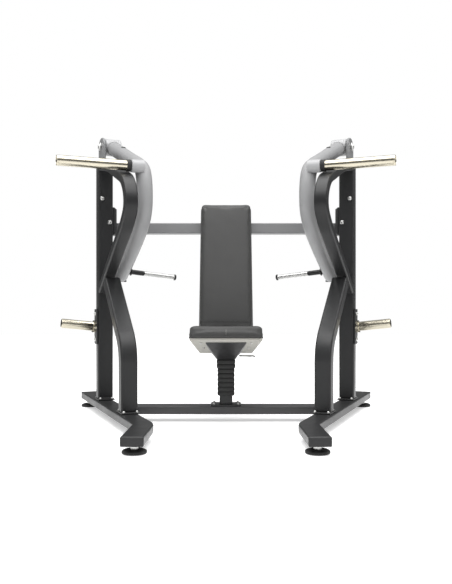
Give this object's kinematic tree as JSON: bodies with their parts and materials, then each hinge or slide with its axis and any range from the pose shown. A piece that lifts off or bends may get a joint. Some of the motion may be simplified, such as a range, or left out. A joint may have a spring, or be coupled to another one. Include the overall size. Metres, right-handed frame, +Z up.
{
  "type": "chest press machine",
  "caption": "Free-standing plate-loaded chest press: toed-in side frames, two separate swinging press arms with weight horns, inclined pads and a height-adjustable seat.",
  "frame": {"origin": "on the floor under the middle of the machine", "axes": "+Z up, +Y to the rear, +X to the right of someone looking at the front of the machine"},
  "size_m": [1.728, 1.395, 1.51],
  "materials": {
    "frame_black": "satin powder coat",
    "arm_graphite": "satin metallic powder coat",
    "bar_grey": "satin powder coat",
    "chrome": "polished",
    "steel": "bright zinc",
    "rubber": "matt",
    "plastic": "moulded",
    "vinyl": "grained upholstery vinyl",
    "board": "painted plywood",
    "bronze": "sintered bush"
  },
  "bodies": {
    "frame": {"base_rail_left": "frame_black", "rail_cap_front_left": "plastic", "rail_cap_rear_left": "plastic", "foot_pad_front_left": "rubber", "foot_pad_rear_left": "rubber", "foot_stem_front_left": "steel", "foot_stem_rear_left": "steel", "front_upright_left": "frame_black", "rear_post_left": "frame_black", "bow_tube_left": "frame_black", "pivot_bracket_left": "bar_grey", "pivot_shaft_left": "steel", "stop_bumper_left": "rubber", "storage_flange_left": "frame_black", "storage_horn_left": "chrome", "crossbar_bracket_left": "frame_black", "base_rail_right": "frame_black", "rail_cap_front_right": "plastic", "rail_cap_rear_right": "plastic", "foot_pad_front_right": "rubber", "foot_pad_rear_right": "rubber", "foot_stem_front_right": "steel", "foot_stem_rear_right": "steel", "front_upright_right": "frame_black", "rear_post_right": "frame_black", "bow_tube_right": "frame_black", "pivot_bracket_right": "bar_grey", "pivot_shaft_right": "steel", "stop_bumper_right": "rubber", "storage_flange_right": "frame_black", "storage_horn_right": "chrome", "crossbar_bracket_right": "frame_black", "upper_crossbar": "bar_grey", "lower_crossbar": "bar_grey", "seat_post_outer": "frame_black", "gas_spring_cylinder": "plastic", "seat_bellows": "rubber", "back_cushion": "vinyl", "back_board": "board", "back_support": "frame_black"},
    "press_arm_left": {"press_arm_left": "arm_graphite", "hub_bush_left": "bronze", "arm_end_plug_left": "arm_graphite", "horn_collar_left": "rubber", "weight_horn_left": "chrome", "handle_bar_left": "frame_black", "handle_grip_left": "steel"},
    "press_arm_right": {"press_arm_right": "arm_graphite", "hub_bush_right": "bronze", "arm_end_plug_right": "arm_graphite", "horn_collar_right": "rubber", "weight_horn_right": "chrome", "handle_bar_right": "frame_black", "handle_grip_right": "steel"},
    "seat": {"seat_post_inner": "steel", "gas_spring_rod": "steel", "seat_carriage": "plastic", "seat_cushion": "vinyl", "seat_board": "board"},
    "lever": {"seat_lever": "steel"}
  },
  "joints": [
    {"name": "press_arm_left_swing", "type": "hinge", "parent": "frame", "child": "press_arm_left", "pos_m": [-0.64043, 0.55801, 1.46], "axis": [-0.9245, -0.3811, 0], "range_deg": [0, 40]},
    {"name": "press_arm_right_swing", "type": "hinge", "parent": "frame", "child": "press_arm_right", "pos_m": [0.64043, 0.55801, 1.46], "axis": [-0.9245, 0.3811, 0], "range_deg": [0, 40]},
    {"name": "seat_height", "type": "slide", "parent": "frame", "child": "seat", "axis": [0, 0, 1], "range_m": [0, 0.1], "deforming": ["seat_bellows"]},
    {"name": "seat_lever_pull", "type": "hinge", "parent": "seat", "child": "lever", "pos_m": [0.08, 0.1583, 0.322], "axis": [-1, 0, 0], "range_deg": [0, 14], "stiffness_Nm_per_rad": 1, "springref_deg": -5.73}
  ]
}
